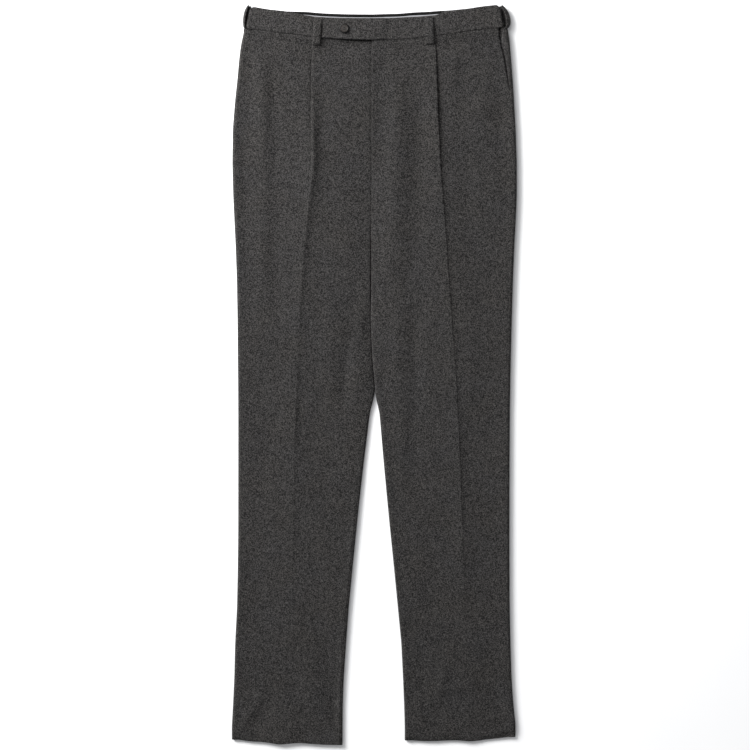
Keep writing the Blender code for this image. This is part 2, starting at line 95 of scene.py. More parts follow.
# The crease, from the pleat's fold down to the hem: how high the ridge stands, how far its slopes
# reach towards the leg's inner and outer edges, the drop at the pleat's fold, and how far inside
# the fold the crest lies.
Ridge = namedtuple("Ridge", "y height inner_reach outer_reach step crest")
RIDGES = {
    RIGHT: [
        Ridge(-574, 1.1, 10, 10, 0.0, 0.0), Ridge(-520, 0.5, 10, 12, 0.0, 0.0),
        Ridge(-400, 0.5, 6, 14, 0.0, 0.0), Ridge(-250, 1.0, 5, 16, 0.0, 0.0),
        Ridge(-112, 1.9, 4, 18, 0.0, 0.0), Ridge(-40, 2.3, 4, 20, 0.0, 0.0),
        Ridge(30, 1.7, 6, 20, 0.0, 0.0), Ridge(110, 2.2, 9, 20, 0.0, 0.0),
        Ridge(200, 3.2, 9, 20, 0.0, 0.8), Ridge(300, 4.4, 8, 18, 0.4, 3.0),
        Ridge(345, 5.2, 6, 16, 0.6, 4.6), Ridge(385, 4.6, 6, 18, 0.6, 4.6),
        Ridge(430, 2.0, 7, 20, 0.3, 4.0), Ridge(480, 0.8, 9, 20, 0.1, 3.4),
        Ridge(540, 0.7, 9, 20, 0.1, 3.0),
    ],
    LEFT: [
        Ridge(-574, 0.9, 10, 8, 0.0, 0.0), Ridge(-500, 0.3, 12, 7, 0.0, 0.0),
        Ridge(-380, 0.6, 14, 5, 0.0, 0.2), Ridge(-250, 1.6, 16, 4.5, 0.2, 0.3),
        Ridge(-100, 2.2, 20, 4.5, 0.3, 0.4), Ridge(40, 2.0, 24, 5, 0.3, 0.5),
        Ridge(130, 2.2, 26, 5, 0.4, 0.7), Ridge(230, 2.8, 28, 6, 0.7, 0.9),
        Ridge(310, 3.4, 28, 7, 1.4, 1.2), Ridge(350, 4.2, 28, 7, 2.8, 1.4),
        Ridge(400, 4.4, 30, 8, 3.8, 1.4), Ridge(450, 3.3, 30, 9, 3.3, 1.2),
        Ridge(500, 2.0, 30, 9, 2.5, 1.0), Ridge(540, 0.9, 30, 10, 1.0, 0.9),
    ],
}

# The valley along the centre seam, deepest below the fly.
Valley = namedtuple("Valley", "y depth right_reach left_reach")
VALLEYS = [
    Valley(-60, 0.0, 14, 16), Valley(10, 0.9, 14, 18), Valley(74, 1.9, 16, 20),
    Valley(160, 2.0, 20, 22), Valley(260, 2.1, 20, 22), Valley(330, 1.7, 16, 20),
    Valley(370, 0.5, 10, 14), Valley(410, 0.0, 10, 14),
]

# Soft folds in the front: troughs where the depth is positive, ridges where it is negative.
Fold = namedtuple("Fold", "side x0 y0 x1 y1 width depth")
FOLDS = [
    Fold(RIGHT, -175, 486, -171, 330, 11, -2.4),
    Fold(RIGHT, -154, 480, -152, 320, 10, 1.0),
    Fold(RIGHT, -171, 345, -173, 80, 12, -1.3),
    Fold(RIGHT, -149, 345, -152, 90, 12, 0.8),
    Fold(RIGHT, -200, 420, -202, 200, 12, 0.8),
    Fold(RIGHT, -60, 480, -56, 350, 16, -0.8),
    Fold(RIGHT, -50, 330, -44, 170, 18, -1.0),
    Fold(RIGHT, -26, 145, -40, 40, 10, 1.4),
    Fold(RIGHT, -40, 55, -48, -45, 9, 1.8),
    Fold(RIGHT, -22, 20, -30, -66, 10, -0.5),
    Fold(RIGHT, -64, 120, -72, -40, 13, -1.0),
    Fold(RIGHT, -8, 98, -12, 50, 6, 1.3),
    Fold(RIGHT, -176, 20, -170, -180, 24, 1.0),
    Fold(RIGHT, -84, -60, -78, -220, 17, 0.9),
    Fold(RIGHT, -96, -290, -78, -380, 14, 1.0),
    Fold(RIGHT, -122, -330, -104, -430, 15, -1.0),
    Fold(RIGHT, -176, -260, -186, -420, 20, 0.8),
    Fold(RIGHT, -214, -556, -171, -494, 6, -1.4),
    Fold(RIGHT, -192, -560, -160, -512, 11, 1.3),
    Fold(RIGHT, -78, -410, -54, -546, 12, 1.9),
    Fold(RIGHT, -106, -440, -92, -546, 13, -1.2),
    Fold(RIGHT, -128, -500, -132, -560, 12, -0.8),
    Fold(LEFT, 22, 506, 10, 470, 6, 1.2),
    Fold(LEFT, 34, 470, 38, 395, 16, -2.2),
    Fold(LEFT, 36, 420, 33, 290, 18, -3.6),
    Fold(LEFT, 32, 310, 29, 140, 18, -2.9),
    Fold(LEFT, 72, 440, 72, 300, 12, 1.3),
    Fold(LEFT, 66, 320, 66, 150, 13, 1.3),
    Fold(LEFT, 36, 150, 36, -20, 13, -1.4),
    Fold(LEFT, 64, 110, 66, -60, 13, 2.0),
    Fold(LEFT, 42, -10, 44, -160, 12, -1.1),
    Fold(LEFT, 62, -40, 66, -170, 13, 1.1),
    Fold(LEFT, 122, 500, 123, 436, 8, -0.9),
    Fold(LEFT, 140, 500, 138, 430, 9, 0.8),
    Fold(LEFT, 170, 490, 168, 370, 14, -1.3),
    Fold(LEFT, 194, 440, 198, 330, 10, 0.9),
    Fold(LEFT, 142, 340, 148, 180, 14, 1.2),
    Fold(LEFT, 172, 250, 176, 60, 22, 1.1),
    Fold(LEFT, 146, 80, 150, -60, 14, -0.9),
    Fold(LEFT, 168, -60, 172, -280, 20, 1.0),
    Fold(LEFT, 98, -250, 86, -400, 16, 1.1),
    Fold(LEFT, 118, -436, 96, -506, 8, -1.5),
    Fold(LEFT, 74, -430, 80, -490, 11, 1.3),
    Fold(LEFT, 103, -512, 96, -552, 9, 1.2),
    Fold(LEFT, 66, -500, 70, -560, 11, -1.0),
    Fold(LEFT, 150, -380, 160, -470, 14, -0.8),
    Fold(LEFT, 182, -440, 190, -548, 15, 1.1),
]

# Shallow folds in the back, which lies on the surface: all of them rise from it.
BACK_FOLDS = [
    Fold(side, side * x0, y0, side * x1, y1, width, -depth)
    for side in (RIGHT, LEFT)
    for x0, y0, x1, y1, width, depth in (
        (112, 420, 128, -120, 3.0, 0.7), (128, -120, 142, -560, 2.6, 0.5),
        (40, 300, 70, 180, 9.0, 0.8), (60, 210, 40, 60, 8.0, 0.6),
        (160, 380, 170, 250, 10.0, 0.5), (84, -250, 120, -310, 9.0, 0.6),
        (150, -400, 110, -460, 8.0, 0.5))
]


def smoothstep(low, high, value):
    t = np.clip((np.asarray(value, dtype=float) - low) / (high - low), 0.0, 1.0)
    return t * t * (3.0 - 2.0 * t)


def mix(start, end, share):
    return start + (end - start) * share


# ---- reading the frame ----

def box_mm(name):
    """The low and high corners of a CAD node's box, in millimetres."""
    return [np.array(corner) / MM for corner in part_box(name)]


def surface_edges(names):
    """Both ends of every edge of some CAD nodes, in millimetres."""
    found = []
    for name in names:
        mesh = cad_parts[name].data
        points = np.empty(len(mesh.vertices) * 3)
        mesh.vertices.foreach_get("co", points)
        pairs = np.empty(len(mesh.edges) * 2, dtype=int)
        mesh.edges.foreach_get("vertices", pairs)
        found.append(points.reshape(-1, 3)[pairs.reshape(-1, 2)] / MM)
    return np.concatenate(found)


def profile(names, axis, pick, between, step=5.0, passes=3):
    """A smooth function of the place along an axis, read from cuts across some CAD nodes.

    Outside the two places in between it keeps its last value.
    """
    ends = surface_edges(names)
    low, high = ends[:, 0], ends[:, 1]
    places = np.linspace(*between, int((between[1] - between[0]) / step) + 2)
    kept, values = [], []
    for place in places:
        hit = (low[:, axis] - place) * (high[:, axis] - place) < 0
        if not hit.any():
            continue
        share = (place - low[hit, axis]) / (high[hit, axis] - low[hit, axis])
        value = pick(low[hit] + (high[hit] - low[hit]) * share[:, None])
        if value is not None:
            kept.append(place)
            values.append(value)
    values = np.array(values)
    for _ in range(passes):
        values[1:-1] = (values[:-2] + 2 * values[1:-1] + values[2:]) / 4
    return lambda at: np.interp(at, kept, values)


def highest_x(points):
    """Where the crease's ridge is, well inside the leg's edges."""
    middle = points[(np.abs(points[:, X]) > 80) & (np.abs(points[:, X]) < 162)]
    return middle[np.argmax(middle[:, Z]), X] if len(middle) else None


def front_most_y(points):
    front = points[points[:, Z] > 8.0]
    return front[:, Y].max() if len(front) else None


FRONTS = {side: "front_" + name for side, name in SIDE_NAMES.items()}
BACKS = {side: "back_" + name for side, name in SIDE_NAMES.items()}
BANDS = {side: "waistband_" + name for side, name in SIDE_NAMES.items()}
LEG_RANGE = (-545.0, 512.0)
SIDE_RANGE = (-545.0, 537.0)
ACROSS = (-196.0, 200.0)
HEM_RANGES = {RIGHT: (-210.0, -60.0), LEFT: (60.0, 208.0)}
outer_x = {side: profile([BACKS[side]], Y, lambda p, s=side: s * (s * p[:, X]).max(), SIDE_RANGE)
           for side in BACKS}
inner_x = {side: profile([FRONTS[side], BACKS[side]], Y, lambda p, s=side: s * (s * p[:, X]).min(),
                         LEG_RANGE, passes=1) for side in BACKS}
front_end_x = {side: profile([FRONTS[side]], Y, lambda p, s=side: s * (s * p[:, X]).max(), SIDE_RANGE,
                             passes=0) for side in FRONTS}
crease_x = {side: profile([FRONTS[side]], Y, highest_x, LEG_RANGE, passes=6) for side in FRONTS}
top_z = profile([BACKS[LEFT]], Y, lambda p: p[:, Z].max(), SIDE_RANGE, passes=6)
floor_z = profile([BACKS[LEFT]], Y, lambda p: p[:, Z].min(), SIDE_RANGE)
hem_y = {side: profile([FRONTS[side]], X, lambda p: p[:, Y].min(), HEM_RANGES[side], passes=1)
         for side in FRONTS}
seam_y = profile([BANDS[RIGHT], BANDS[LEFT]], X, lambda p: p[:, Y].min(), ACROSS, passes=1)
back_top_y = profile([BANDS[RIGHT], BANDS[LEFT]], X, lambda p: p[:, Y].max(), ACROSS, passes=1)
front_top_y = profile([BANDS[RIGHT], "fly_tab", BANDS[LEFT]], X, front_most_y, ACROSS, passes=1)
band_end = {side: profile([BANDS[side]], Y, lambda p, s=side: s * (s * p[:, X]).max(), (541.0, 571.0))
            for side in BANDS}


def inner_edge(side, y):
    """A leg's inner edge; where the legs lie pressed together the two edges meet."""
    middle = (inner_x[RIGHT](y) + inner_x[LEFT](y)) / 2
    return mix(inner_x[side](y), middle, smoothstep(-62.0, -16.0, y))


band_box = box_mm(BANDS[LEFT])
tab_box = box_mm("fly_tab")
BAND_TOP_Z = band_box[1][Z]
BAND_FLOOR_Z = band_box[0][Z]
HEM_LEVEL = -566.0
SEAM_LEVEL = box_mm(BACKS[LEFT])[1][Y]


# ---- cloth forms ----

def table(rows, column, at):
    """A column of a table, smoothly between its rows."""
    knots = np.array([row.y for row in rows], dtype=float)
    values = np.array([getattr(row, column) for row in rows], dtype=float)
    fine = np.linspace(knots[0], knots[-1], 240)
    smooth = np.interp(fine, knots, values)
    for _ in range(30):
        smooth[1:-1] = (smooth[:-2] + 2 * smooth[1:-1] + smooth[2:]) / 4
    return np.interp(at, fine, smooth)


def waves(x, y, scale_x, scale_y, seed):
    """Smooth uneven waves between -1 and 1, with their own length each way."""
    flat = [noise.noise(Vector((px / scale_x, py / scale_y, seed)))
            for px, py in zip(np.ravel(x), np.ravel(y))]
    return np.array(flat).reshape(np.shape(x))


def fold_heights(folds, side, x, y):
    height = np.zeros(np.shape(x))
    for fold in folds:
        if fold.side != side:
            continue
        along_x, along_y = fold.x1 - fold.x0, fold.y1 - fold.y0
        length = np.hypot(along_x, along_y)
        share = ((x - fold.x0) * along_x + (y - fold.y0) * along_y) / length ** 2
        across = ((x - fold.x0) * along_y - (y - fold.y0) * along_x) / length
        ends = smoothstep(-0.2, 0.3, share) * smoothstep(1.2, 0.7, share)
        height -= fold.depth * ends * np.exp(-(across / fold.width) ** 2)
    return height


def crumple(side, x, y):
    """The slight unevenness of wool that has been pressed, hung and laid down."""
    return (0.42 * waves(x, y, 46.0, 120.0, 3.1 + side)
            + 0.2 * waves(x, y, 21.0, 44.0, 7.7 + side)
            + 0.07 * waves(x, y, 8.0, 13.0, 11.3 + side))


def same_rows(y, xs):
    """The rows' own y for every point of a grid."""
    return np.repeat(y[:, None], xs.shape[1], axis=1)


def under_tab(x):
    """1 below the free part of the fly tab, 0 elsewhere."""
    return smoothstep(-66.0, -38.0, x) * smoothstep(4.0, -4.0, x)


def plain_seam(x):
    """1 where the waist seam hardly shows, between the fly and the left belt loop."""
    return smoothstep(0.0, 10.0, x) * smoothstep(88.0, 64.0, x)


def legs_apart(y):
    """0 where the two legs are one tube, 1 where each is a tube of its own."""
    return smoothstep(CROTCH_Y + CROTCH_BLEND, CROTCH_Y - CROTCH_BLEND / 2, y)


def inner_reach(y):
    return mix(TIGHT_REACH, EDGE_REACH, smoothstep(16.0, -54.0, y))


def inseam_angle(y):
    return 70.0 * (1.0 - smoothstep(*INSEAM_TURN, y))


def base_height(side, x, y):
    """The upper surface without its crease: sag, valley, fly, folds and crumple."""
    to_outer = np.abs(x - outer_x[side](y))
    to_inner = np.abs(x - inner_edge(side, y))
    reach = "left_reach" if side == LEFT else "right_reach"
    valley = table(VALLEYS, "depth", y) * np.exp(-to_inner / table(VALLEYS, reach, y))
    soft = -SAG + fold_heights(FOLDS, side, x, y) + crumple(side, x, y)
    fly = 0.0
    if side == LEFT:
        on_fly = smoothstep(FLY_END_Y - 34, FLY_END_Y + 12, y)
        fly = (FLY_STEP + FLY_LAP) * on_fly * np.exp(-to_inner / FLY_REACH)
        soft = soft * mix(1.0, smoothstep(-12.0, 26.0, to_inner), on_fly)
    hem_roll = HEM_ROLL * smoothstep(HEM_ROLL_REACH, 0.0, y - hem_y[side](x)) ** 2
    edges = smoothstep(0.0, OUTER_FADE, to_outer)
    free_edge = legs_apart(y) * smoothstep(60.0, -40.0, y)
    edges = edges * mix(1.0, smoothstep(0.0, INNER_FADE, to_inner), free_edge)
    sunk = TAB_SINK * smoothstep(508.0, 530.0, y) * under_tab(x)
    if side == RIGHT:
        roll_range = smoothstep(-330.0, -60.0, y) * smoothstep(120.0, 40.0, y)
        soft = soft - INNER_ROLL * roll_range * np.exp(-to_inner / INNER_ROLL_REACH)
        edges = np.maximum(edges, roll_range)
        beside_fly = smoothstep(FLY_END_Y - 10, FLY_END_Y + 8, y)
        sunk = sunk + FLY_DROP * beside_fly * np.exp(-to_inner / 2.6)
    return top_z(y) + soft * edges - valley + fly - hem_roll - sunk


def ridge_height(side, x, y):
    """The pressed crease's ridge, with the pleat's outer side one step down."""
    rows = RIDGES[side]
    beyond = side * (x - crease_x[side](y))
    height, crest = table(rows, "height", y), table(rows, "crest", y)
    from_crest = np.minimum(beyond + crest, 0.0)
    inner = height * np.exp((1.2 - np.hypot(from_crest, 1.2)) / table(rows, "inner_reach", y))
    inner = inner - 0.05 * np.clip(beyond + crest, 0.0, 8.0) ** 2
    edge = height - 0.05 * crest ** 2 - table(rows, "step", y)
    outer = edge * np.exp(-np.abs(beyond) / table(rows, "outer_reach", y))
    groove = PLEAT_GROOVES[side] * smoothstep(335.0, 365.0, y) * smoothstep(545.0, 480.0, y)
    outer = outer - groove * np.exp(-np.abs(beyond) / 2.2)
    return np.where(beyond <= 0, inner, outer)


def cloth_height(side, x, y):
    return base_height(side, x, y) + ridge_height(side, x, y)


def real_y(side, x, y):
    """Bends the level rows to the waistband's seam above and to the hem below."""
    top_share = smoothstep(440.0, SEAM_LEVEL, y)
    hem_share = smoothstep(-500.0, HEM_LEVEL, y)
    return (y + (seam_y(x) - SEAM_HALF_GAP - SEAM_LEVEL) * top_share
            + (hem_y[side](x) - HEM_LEVEL) * hem_share)


def smooth_piece(name, mesh, material):
    mesh.shade_smooth()
    mesh.materials.append(material)
    piece = bpy.data.objects.new(name, mesh)
    bpy.context.scene.collection.objects.link(piece)
    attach(piece, "root")
    return piece


def grid_piece(name, points, thickness, material, flip=False):
    """A cloth piece from a grid of its outer surface's points, thickened inwards."""
    rows, columns = points.shape[:2]
    index = np.arange(rows * columns).reshape(rows, columns)
    quads = np.stack([index[:-1, :-1], index[:-1, 1:], index[1:, 1:], index[1:, :-1]], axis=-1)
    quads = quads.reshape(-1, 4)
    if flip:
        quads = quads[:, ::-1]
    mesh = bpy.data.meshes.new(name)
    mesh.from_pydata((points.reshape(-1, 3) * MM).tolist(), [], quads.tolist())
    piece = smooth_piece(name, mesh, material)
    wall = piece.modifiers.new("Cloth", "SOLIDIFY")
    wall.thickness = thickness * MM
    wall.offset = -1.0
    return piece


def row_levels():
    """The rows of a panel, closer together near the hem, the crotch and the waist seam."""
    body = np.arange(HEM_LEVEL + 12, SEAM_LEVEL - 12, ROW_SPACING)
    hem = HEM_LEVEL + np.array([0.0, 0.6, 1.5, 3.0, 5.0, 8.0])
    waist = SEAM_LEVEL - np.array([9.0, 6.0, 4.0, 2.4, 1.3, 0.6, 0.2, 0.0])
    return np.concatenate([hem, body, waist])


def seam_dip(distance, depth=SEAM_GROOVE):
    """Cloth turns down into a seam."""
    return depth * np.exp(-(distance / 0.9) ** 2)


def round_columns(side, y, shares, start_angle, end_angle, flat_z, top):
    """The inner edge's round for each row, opening out flat above the crotch."""
    reach = inner_reach(y)[:, None]
    low = floor_z(y)[:, None]
    angle = np.radians(mix(start_angle[:, None], end_angle, shares[None, :]))
    round_out = reach * (1.0 - np.cos(angle))
    round_z = low + (top[:, None] - low) * (0.5 + 0.5 * np.sin(angle))
    apart = legs_apart(y)[:, None]
    out = mix(reach * shares[None, :], round_out, apart) + SEAM_HALF_GAP
    return inner_edge(side, y)[:, None] + side * out, mix(flat_z, round_z, apart)


PLEAT_LANDING = (0.5, 1.2, 2.0, 3.0, 4.2, 5.6, 7.2, PLEAT_SPREAD)


def pleat_path(side, y, x_fold, upper, lower, depth, open_share):
    """The folded cloth of a pleat, as (outward distance, height) points for each row.

    It runs out to the fold, back underneath and out again, and lands on the outer side. Where the
    pleat has opened, the same points spread down the crease's outer slope.
    """
    bend = np.radians(np.linspace(90.0, -90.0, 7))
    hidden_out, hidden_z = [], []
    radius = np.maximum(upper - lower, 1.1) / 4
    for angle in bend:
        hidden_out.append(radius * np.cos(angle))
        hidden_z.append(upper - radius + radius * np.sin(angle))
    for share in (0.2, 0.4, 0.6, 0.8):
        hidden_out.append(-depth * share)
        hidden_z.append(upper - 2 * radius)
    for angle in bend:
        hidden_out.append(-depth - radius * np.cos(angle))
        hidden_z.append(upper - 3 * radius + radius * np.sin(angle))
    for share in (0.75, 0.5, 0.25, 0.08):
        hidden_out.append(-depth * share)
        hidden_z.append(upper - 4 * radius)
    landing_out = np.repeat(np.array(PLEAT_LANDING)[None, :], len(y), axis=0)
    folded_out = np.concatenate([np.stack(hidden_out, 1), landing_out], axis=1)
    level = same_rows(y, folded_out)
    landed_z = cloth_height(side, x_fold[:, None] + side * landing_out, level[:, :len(PLEAT_LANDING)])
    folded_z = np.concatenate([np.stack(hidden_z, 1), landed_z], axis=1)
    spread = np.linspace(0.0, 1.0, folded_out.shape[1])[None, :] ** 1.3 * PLEAT_SPREAD
    open_out = np.repeat(spread, len(y), axis=0)
    open_z = cloth_height(side, x_fold[:, None] + side * open_out, level)
    share = open_share[:, None]
    return mix(folded_out, open_out, share), mix(folded_z, open_z, share)


def front_grid(side):
    y = row_levels()
    inner, outer = inner_edge(side, y), outer_x[side](y)
    end = outer - side * SIDE_SEAM_INSET
    end = np.where(side * front_end_x[side](y) < side * end - 0.4, front_end_x[side](y), end)
    end = end - side * SEAM_HALF_GAP
    fold = crease_x[side](y)

    round_shares = np.array([0.0, 0.02, 0.06, 0.12, 0.22, 0.36, 0.52, 0.68, 0.84, 1.0])
    flat_start = inner + side * (inner_reach(y) + SEAM_HALF_GAP)
    pleat_zone = 26.0
    after_zone = 22.0
    toward = np.array([22, 18, 15, 12, 9.5, 7.5, 5.5, 4, 2.8, 1.8, 1.0, 0.4])
    after = np.array([0, 1.5, 3, 5, 8, 12, 17])
    lip = np.array([5.0, 3.2, 2.0, 1.2, 0.6, 0.25, 0.0])

    def across(start, stop):
        count = int(np.max(np.abs(stop - start)) / COLUMN_SPACING)
        shares = np.linspace(0.0, 1.0, count + 1)
        return start[:, None] + (stop - start)[:, None] * shares[None, :]

    inner_xs = across(flat_start, fold - side * pleat_zone)
    near_xs = fold[:, None] - side * toward[None, :]
    landing = fold + side * PLEAT_SPREAD
    after_xs = landing[:, None] + side * after[None, 1:]
    outer_xs = across(landing + side * after_zone, end - side * 7.0)
    lip_xs = end[:, None] - side * lip[None, :]

    def lifted(xs):
        return cloth_height(side, xs, same_rows(y, xs))

    top = lifted(flat_start[:, None])[:, 0]
    angle = inseam_angle(y)
    reach_xs = flat_start[:, None] - side * inner_reach(y)[:, None] * (1 - round_shares[None, :])
    round_x, round_z = round_columns(side, y, round_shares, angle, 90.0, lifted(reach_xs), top)
    from_seam = np.abs(round_x - round_x[:, :1])
    on_fly = smoothstep(FLY_END_Y - 30, FLY_END_Y + 8, y)[:, None]
    if side == LEFT:
        round_z = round_z - mix(seam_dip(from_seam), (FLY_STEP + 0.5) * np.exp(-(from_seam / 0.35) ** 2),
                                on_fly)
    else:
        under = on_fly * UNDERLAP * (1.0 - round_shares[None, :]) ** 2
        round_x = round_x - side * under
        round_z = round_z - mix(seam_dip(from_seam), FLY_DROP, on_fly)

    x_upper = fold[:, None] + 0 * near_xs[:, :1]
    upper = cloth_height(side, x_upper, y[:, None])[:, 0]
    lower = upper - table(RIDGES[side], "step", y)
    folded = smoothstep(PLEAT_FOLDED - 40, SEAM_LEVEL, y)
    depth = mix(3.0, PLEAT_DEPTH, folded)
    open_share = smoothstep(PLEAT_FOLDED, PLEAT_OPEN, y)
    path_out, path_z = pleat_path(side, y, fold, upper, lower, depth, open_share)

    lip_z = lifted(lip_xs)
    mouth = smoothstep(446.0, 452.0, y)[:, None]
    mouth_roll = POCKET_DROPS[side] * 0.4 * np.exp(-(lip[None, :] / 0.5) ** 2)
    lip_z = lip_z - mix(seam_dip(lip[None, :], SIDE_GROOVE), mouth_roll, mouth)

    xs = np.concatenate([round_x, inner_xs[:, 1:], near_xs, fold[:, None] + side * path_out,
                         after_xs, outer_xs, lip_xs], axis=1)
    zs = np.concatenate([round_z, lifted(inner_xs[:, 1:]), lifted(near_xs), path_z,
                         lifted(after_xs), lifted(outer_xs), lip_z], axis=1)
    ys = real_y(side, xs, same_rows(y, xs))
    to_band = seam_y(xs) - ys
    band_level = BAND_TOP_Z - 0.35
    near_band = smoothstep(16.0, 2.0, to_band) * (1 - under_tab(xs))
    raised = np.maximum(zs, zs * 0.25 + band_level * 0.75)
    groove = (0.22 - 0.18 * plain_seam(xs)) * np.exp(-(to_band / 0.9) ** 2)
    zs = mix(zs, raised, near_band) - groove
    return np.stack([xs, ys, zs], axis=-1)


def back_grid(side):
    y = row_levels()
    outer = outer_x[side](y)
    low = floor_z(y)
    reach = inner_reach(y)
    flat_start = inner_edge(side, y) + side * (reach + SEAM_HALF_GAP)
    top = cloth_height(side, flat_start[:, None], y[:, None])[:, 0]
    angle = inseam_angle(y) - 1.5
    shares = np.array([0.0, 0.03, 0.08, 0.16, 0.28, 0.42, 0.56, 0.7, 0.84, 1.0])
    round_x, round_z = round_columns(side, y, shares, angle, -90.0, low[:, None], top)

    flat_end = outer - side * EDGE_REACH
    flat = np.linspace(0.0, 1.0, 44)[None, 1:-1]
    flat_xs = mix(flat_start[:, None], flat_end[:, None], flat)
    lift = fold_heights(BACK_FOLDS, side, flat_xs, same_rows(y, flat_xs))
    lift = lift * smoothstep(0.0, 0.12, flat) * smoothstep(1.0, 0.88, flat)
    flat_zs = low[:, None] + np.maximum(lift, 0.0)

    outer_top = cloth_height(side, flat_end[:, None], y[:, None])
    angles = np.radians(np.linspace(-90.0, 90.0, 15))[None, :]
    edge_x = outer[:, None] - side * EDGE_REACH * (1.0 - np.cos(angles))
    edge_z = low[:, None] + (outer_top - low[:, None]) * (0.5 + 0.5 * np.sin(angles))
    end = outer - side * (SIDE_SEAM_INSET - SEAM_HALF_GAP)
    tail = np.array([0.35, 0.7, 1.0])[None, :]
    tail_x = mix(edge_x[:, -1:], end[:, None], tail)
    tail_z = cloth_height(side, tail_x, same_rows(y, tail_x))
    from_seam = np.abs(tail_x - end[:, None])
    tail_z = tail_z - seam_dip(from_seam, SIDE_GROOVE)

    xs = np.concatenate([round_x, flat_xs, edge_x, tail_x], axis=1)
    zs = np.concatenate([round_z, flat_zs, edge_z, tail_z], axis=1)
    ys = real_y(side, xs, same_rows(y, xs))
    return np.stack([xs, ys, zs], axis=-1)


def facing_grid(side):
    """The cloth behind the slanted pocket mouth, which runs on under the front's edge."""
    y = np.concatenate([[446.0, 450.0], np.arange(454.0, SEAM_LEVEL - 4, 4.0),
                        SEAM_LEVEL - np.array([3.0, 1.2, 0.3, 0.0])])
    end = outer_x[side](y) - side * (SIDE_SEAM_INSET + SEAM_HALF_GAP)
    mouth = np.minimum(side * front_end_x[side](y), side * end)
    start = side * (mouth - 9.0)
    shares = np.linspace(0.0, 1.0, 14)[None, :]
    xs = mix(start[:, None], end[:, None], shares)
    level = same_rows(y, xs)
    inside = side * (end[:, None] - xs)
    width = side * end[:, None] - mouth[:, None]
    sunk = POCKET_DROPS[side] * smoothstep(-0.15, 1.0, inside / np.maximum(width, 0.8))
    zs = cloth_height(side, xs, level) - sunk - seam_dip(inside, SIDE_GROOVE)
    ys = real_y(side, xs, level)
    return np.stack([xs, ys, zs], axis=-1)


# ---- waistband, tab and loops ----

def edge_roll(share_height, height, radius, drop):
    """How far a band's surface rolls down near its two long edges."""
    from_edge = np.minimum(share_height, 1.0 - share_height) * height
    t = np.clip(1.0 - from_edge / radius, 0.0, 1.0)
    return drop * (1.0 - np.sqrt(1.0 - t * t))


BAND_ROWS = np.array([0.0, 0.012, 0.04, 0.09, 0.16, 0.26, 0.38, 0.5, 0.62, 0.74, 0.84, 0.91, 0.96,
                      0.988, 1.0])
BAND_DEPTH = 36.0  # from the waist seam to the band's top
BAND_COLUMNS = {"front": 70, "round": 17, "under": 60}
BACK_ROLL = 4.3  # the width of the back's rolled top edge
BACK_RISE = 2.6  # how far the back's top edge stands above the band's own top
FRONT_RISE = 1.2  # the same for the front's top edge, over the lining strip
TAB_JOIN_X = tab_box[1][X]
TAB_RISE = tab_box[1][Z] - BAND_TOP_Z


def front_rise(x):
    """The front's top edge stands a little higher where the lining strip shows behind it."""
    return FRONT_RISE * smoothstep(-116.0, -96.0, x) * smoothstep(104.0, 88.0, x)


def band_wave(x, y):
    return 0.32 * waves(x, y, 34.0, 60.0, 21.0) + 0.1 * waves(x, y, 12.0, 14.0, 5.0)


def band_grid(side):
    """Half a waistband, along its front, round its end and back along its underside."""
    middle = float(inner_x[side](SEAM_LEVEL - 4))
    start = TAB_JOIN_X + 0.02 if side == LEFT else middle
    rows = []
    for share in BAND_ROWS:
        end_y = mix(SEAM_LEVEL + 1.0, band_box[1][Y] - 1.0, share)
        end_x = float(band_end[side](end_y))
        flat_end = end_x - side * EDGE_REACH
        near_join = start + side * np.array([0.0, 0.12, 0.35, 0.8])
        rest = np.linspace(start + side * 1.6, flat_end, BAND_COLUMNS["front"] - len(near_join))
        front = np.concatenate([near_join, rest])
        angles = np.radians(np.linspace(90.0, -90.0, BAND_COLUMNS["round"]))[1:-1]
        round_x = end_x - side * EDGE_REACH * (1.0 - np.cos(angles))
        under = np.linspace(flat_end, middle, BAND_COLUMNS["under"])
        xs = np.concatenate([front, round_x, under])
        on_front = np.concatenate([np.ones(len(front)), 0.5 + 0.5 * np.sin(angles), np.zeros(len(under))])
        top = mix(back_top_y(xs), front_top_y(xs) + front_rise(xs), smoothstep(0.3, 0.7, on_front))
        ys = mix(seam_y(xs) + SEAM_HALF_GAP, top, share)
        zs = mix(BAND_FLOOR_Z, BAND_TOP_Z, on_front)
        roll = edge_roll(share, BAND_DEPTH, 1.6, 1.3) * smoothstep(0.1, 0.6, share)
        roll = roll + (0.25 - 0.2 * plain_seam(xs)) * np.exp(-(share * BAND_DEPTH / 0.8) ** 2)
        zs = zs + (band_wave(xs, ys) - roll) * np.maximum(on_front * 2 - 1, 0)
        rows.append(np.stack([xs, ys, zs], axis=-1))
    return np.array(rows)


def tab_height(x):
    return BAND_TOP_Z + TAB_RISE * smoothstep(TAB_JOIN_X, 11.0, x)


def tab_grid():
    start, stop = tab_box[0][X], TAB_JOIN_X
    steps = np.concatenate([start + np.array([0.0, 0.25, 0.7, 1.4, 2.4]),
                            np.arange(start + 4, stop - 3, 2.0), stop - np.array([2.4, 1.2, 0.5, 0])])
    rows = []
    for share in BAND_ROWS:
        ys = mix(seam_y(steps) + SEAM_HALF_GAP, front_top_y(steps) + front_rise(steps), share)
        roll = edge_roll(share, BAND_DEPTH - 1.0, 1.7, 1.5)
        end_roll = 1.3 * np.exp(-((steps - start) / 0.8) ** 2)
        pull = 0.7 * np.exp(-((steps - button_x) ** 2 + (ys - button_y) ** 2) / 12.0 ** 2)
        own_wave, next_wave = 0.7 * band_wave(steps, ys + 90.0), band_wave(steps, ys)
        wave = mix(own_wave, next_wave, smoothstep(stop - 26.0, stop - 1.0, steps))
        zs = tab_height(steps) + wave - roll - end_roll - pull
        rows.append(np.stack([steps, ys, zs], axis=-1))
    return np.array(rows)


